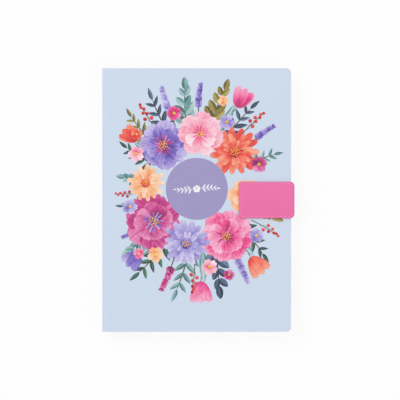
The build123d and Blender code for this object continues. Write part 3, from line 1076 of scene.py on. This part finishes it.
def lower_fold():
    """The strap's turn out of the back cover, thinner where it comes from under the endpaper."""
    outer_radius = lower_high.x - lower_low.x
    centre = Vector((lower_low.x, 0, lower_low.z + outer_radius))

    def thin_towards_anchor(point):
        """Move a point of the turn outwards, so that the strap thins to the anchor's thickness."""
        arm = point.co - centre
        if arm.z > -TOUCH:
            return
        turn = atan2(-arm.z, arm.x) / (pi / 2)
        radius = hypot(arm.x, arm.z)
        depth = (outer_radius - radius) / strap_thickness
        thickness = strap_thickness + (anchor_thickness - strap_thickness) * turn
        scale = (outer_radius - depth * thickness) / radius
        point.co.x = centre.x + arm.x * scale
        point.co.z = centre.z + arm.z * scale

    with strap_skin("clasp_lower_fold_skin", (neck_middle, 0, neck_foot_seam), neck_section) as fold:
        draw_out(neck_foot_seam - centre.z, (0, 0, -1), 4)
        quarter_turn(centre)
        reshape(fold, thin_towards_anchor)
    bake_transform(fold)
    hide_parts("clasp_lower_fold")


# Case joints and endpaper folds, cut into strips

def bending_copy(node, name, material, slot, body_a, body_b, start, end, cuts):
    """A copy of a packed sheet, merged and cut into strips between a start and an end."""
    piece = copy_of(nodes[node], name)
    span = end - start
    with editing(piece):
        bpy.ops.mesh.customdata_custom_splitnormals_clear()
        merge_doubles()
        for cut in range(1, cuts):
            cut_through(start + span * cut / cuts, span)
    smooth(piece)
    dress(piece, material)
    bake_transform(piece)
    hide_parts(node)


def case_joints():
    """Covering paper and lining across both joints, and the endpaper folds in the gutters."""
    cover = (papers["cover"], "cover_paper")
    endpaper = (papers["endpaper"], "endpaper")
    spine_edge = Vector((hinge_low.x, 0, 0))
    board_edge = Vector((hinge_high.x, 0, 0))
    up = Vector((0, 0, cover_top))
    front = ("spine", "front_cover", spine_edge + up, board_edge + up, 10)
    back = ("back_cover_and_block", "spine", board_edge, spine_edge, 8)
    for side, bend in (("front", front), ("back", back)):
        bending_copy(side + "_hinge_strip", side + "_joint_paper", *cover, *bend)
        bending_copy(side + "_joint_lining", side + "_joint_endpaper", *endpaper, *bend)
    for side in ("front", "back"):
        low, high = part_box(side + "_gutter_fold")
        joint_z, leaf_z = (high.z, low.z) if side == "front" else (low.z, high.z)
        start = Vector((high.x, 0, leaf_z))
        end = Vector((low.x, 0, joint_z))
        bend = ("back_cover_and_block", "spine", start, end, 6)
        bending_copy(side + "_gutter_fold", side + "_gutter_paper", *endpaper, *bend)


# Leaves

leaves_per_section = 8
bending_strips = 56  # across a leaf that turns
section_names = [name for name in nodes if name.startswith("section_")]
section_nodes = sorted(section_names, key=lambda name: -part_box(name)[1].z)
index_step = 2 * leaf_half / len(section_nodes)


def one_leaf(name, thickness, strips, tab_foot=None):
    """A leaf with rounded corners, cut back below its index tab if it has one."""
    leaf_corner = 3.0 * MM
    tab_corner = 1.5 * MM
    grid = bpy.ops.mesh.primitive_grid_add
    middle = ((leaf_edge + leaf_fore) / 2, 0, 0)
    leaf = add(grid, name, x_subdivisions=strips, y_subdivisions=2, size=1, location=middle)
    with editing(leaf):
        bpy.ops.transform.resize(value=(leaf_fore - leaf_edge, 2 * leaf_half, 1))
    settle(leaf)
    with editing(leaf):
        if tab_foot is not None:
            cut_through((index_edge, 0, 0), (1, 0, 0))
            cut_through((0, tab_foot, 0), (0, 1, 0))
            pick(leaf, "FACE", lambda at: at.x > index_edge - TOUCH and at.y < tab_foot + TOUCH)
            bpy.ops.mesh.delete(type="FACE")
            pick(leaf, "VERT", lambda at: at.x > leaf_fore - TOUCH and abs(at.y - tab_foot) < TOUCH)
            round_corners(tab_corner, 4)
            pick(leaf, "VERT", lambda at: abs(at.x - index_edge) < TOUCH and at.y < TOUCH - leaf_half)
            round_corners(leaf_corner, 5)
        pick(leaf, "VERT", lambda at: at.x > leaf_fore - TOUCH and abs(at.y) > leaf_half - TOUCH)
        round_corners(leaf_corner, 5)
    flat = leaf.data.uv_layers["UVMap"].data
    for loop in leaf.data.loops:
        flat[loop.index].uv = leaf.data.vertices[loop.vertex_index].co.xy
    thicken(leaf, thickness, -1)
    return leaf


def index_letters(text, place):
    """Letters of a section, printed on its tab."""
    letters = add(bpy.ops.object.text_add, "letters")
    letters.data.body = text
    letters.data.size = 3.5 * MM
    letters.data.align_x = "CENTER"
    letters.data.align_y = "CENTER"
    letters.data.extrude = 0.006 * MM
    letters.data.resolution_u = 3
    bpy.ops.object.convert(target="MESH")
    letters = bpy.context.active_object
    letters.location = place
    settle(letters)
    with editing(letters):
        merge_doubles()
        bpy.ops.mesh.dissolve_degenerate(threshold=TOUCH)
    return dress(letters, papers["letter_ink"])


def leaf_section(number, node):
    """A section of leaves, each a little out of line with the next."""
    paper_share = 0.84  # of a leaf's pitch, the rest is air
    play_in = 0.10 * MM
    play_up = 0.06 * MM
    letters_in = 3.1 * MM  # from the fore edge to the middle of the letters
    letters_lift = 0.004 * MM
    low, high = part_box(node)
    body = nodes[node]["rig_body"]
    moves = body != "back_cover_and_block"
    label = node.removeprefix("section_")
    tab_foot = leaf_half - (number + 1) * index_step
    last = number == len(section_nodes) - 1
    pitch = (high.z - low.z) / leaves_per_section
    strips = bending_strips if moves else 1
    leaf = one_leaf("leaf", paper_share * pitch, strips, None if last else tab_foot)
    leaves = []
    for level in range(leaves_per_section):
        copy = copy_of(leaf, "leaf_copy")
        inward = wobble(play_in) - play_in
        shift = Vector((inward if level else 0, wobble(play_up), high.z - level * pitch))
        copy.data.transform(Matrix.Translation(shift))
        give_tone(copy, chance.random() if level else 0.0)
        leaves.append(dress(copy, papers["leaf"]))
    bpy.data.objects.remove(leaf)
    if len(label) == 2:
        middle = Vector((leaf_fore - letters_in, tab_foot + index_step / 2, high.z + letters_lift))
        leaves.append(index_letters(label.upper(), middle))
    piece = joined("leaves_" + label, leaves)
    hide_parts(node)
    if moves:
        turn_leaves(piece)
    else:
        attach(piece, body)


def turn_leaves(piece):
    """Put the place of a section's leaves into their mesh."""
    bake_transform(piece)


def front_flyleaf():
    """First leaf, of endpaper, over the leaves behind it."""
    leaf = one_leaf("first_flyleaf", fly_high.z - fly_low.z, bending_strips)
    leaf.data.transform(Matrix.Translation((0, 0, fly_high.z)))
    dress(leaf, papers["endpaper"])
    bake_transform(leaf)
    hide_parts("front_flyleaf")


def wound_band(node, name, side):
    """Bead wound with thread in two colours, on a tape that goes down the spine."""
    rings = 44
    waist = 0.88  # of the bead's radius, between two windings
    tape_length = 9.5 * MM
    tape_thickness = 0.22 * MM
    tape_set_back = 0.12 * MM
    tape_edge = 0.05 * MM
    low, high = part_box(node)
    tape_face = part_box("spine_mull")[0].x
    radius = high.x - tape_face
    height = high.z - low.z
    bead_y = side * (max(abs(low.y), abs(high.y)) - radius)
    middle = Vector((tape_face, bead_y, (low.z + high.z) / 2))
    cylinder = bpy.ops.mesh.primitive_cylinder_add
    bead = add(cylinder, name, vertices=14, radius=radius, depth=height, location=middle)
    settle(bead)
    with editing(bead):
        for ring in range(1, rings):
            cut_through((0, 0, low.z + height * ring / rings), (0, 0, 1))
        pick(bead, "VERT", lambda at: round((at.z - low.z) / height * rings) % 2 == 0)
        bpy.ops.transform.resize(value=(waist, waist, 1), center_override=middle)
    smooth(bead, 60)
    tape_middle = middle - Vector((tape_set_back, side * tape_length / 2, 0))
    tape = add(bpy.ops.mesh.primitive_cube_add, "tape", size=1, location=tape_middle)
    with editing(tape):
        bpy.ops.transform.resize(value=(tape_thickness, tape_length, height))
        bpy.ops.mesh.bevel(offset=tape_edge, segments=2, affect="EDGES")
    settle(tape)
    band = joined(name, [dress(piece, threads["band"]) for piece in (bead, tape)])
    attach(band, "back_cover_and_block")
    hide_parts(node)


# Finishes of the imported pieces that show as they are

node_finishes = (
    (papers["cover"], ("front_cover_sheet", "back_cover_sheet", "spine_cover_sheet")),
    (papers["board"], ("front_board", "back_board", "spine_board")),
    (papers["board"], ("clasp_tab_stiffener", "clasp_neck_stiffener")),
    (papers["endpaper"], ("front_pastedown", "back_pastedown", "back_flyleaf")),
    (papers["liner"], ("spine_liner",)),
    (cloths["mull"], ("spine_mull",)),
    (cloths["skin"], ("clasp_anchor",)),
    (threads["sewing"], ("sewing_thread",)),
    (metals["keeper"], ("keeper_plate",)),
    (metals["magnet"], ("clasp_magnet",)),
)
for material, names in node_finishes:
    for name in names:
        dress(nodes[name], material)


# Scene

def studio():
    """White floor under soft overhead light, in a white room."""
    room_light = 0.62
    lamps = (  # name, place, size, power
        ("key", (-1.0, 0.9, 2.1), 1.4, 19.0),
        ("fill", (1.3, -0.5, 1.9), 1.6, 9.0),
    )
    floor = disc("floor", 64, 5.0, (0, 0, -0.1 * MM))
    dress(floor, floor_white())

    world = bpy.data.worlds.new("white_room")
    shading = Shading(world)
    shading.tree.nodes.clear()
    strength = room_light + shading.seen() * (1 - room_light)
    room = shading.node("Background", {}, {"Color": "#FFFFFF", "Strength": strength})
    shading.node("OutputWorld", {}, {"Surface": room})
    bpy.context.scene.world = world

    for name, place, size, power in lamps:
        light = bpy.data.lights.new(name, "AREA")
        light.energy = power
        light.size = size
        lamp = bpy.data.objects.new(name, light)
        lamp.location = place
        lamp.rotation_euler = (-Vector(place)).to_track_quat("-Z", "Y").to_euler()
        objects.link(lamp)


def camera():
    """Long lens straight above the cover, framed as the photograph is."""
    picture_width = 400
    metres_per_pixel = 0.8155 * MM
    lens = 200.0
    sensor = 36.0
    centre_x = 1.31 * MM
    data = bpy.data.cameras.new("camera")
    data.lens = lens
    data.sensor_width = sensor
    data.clip_end = 20
    distance = picture_width * metres_per_pixel * lens / sensor
    eye = bpy.data.objects.new("camera", data)
    eye.location = (centre_x, 0, cover_top + distance)
    objects.link(eye)
    bpy.context.scene.camera = eye


studio()
camera()
garden_wreath()
roundel()
clasp_tab()
tab_lining()
stitches()
upper_fold()
neck()
neck_lining()
lower_fold()
case_joints()
for number, node in enumerate(section_nodes):
    leaf_section(number, node)
front_flyleaf()
wound_band("headband", "head_band_wound", 1)
wound_band("tailband", "tail_band_wound", -1)

bpy.context.scene.view_settings.view_transform = "Standard"
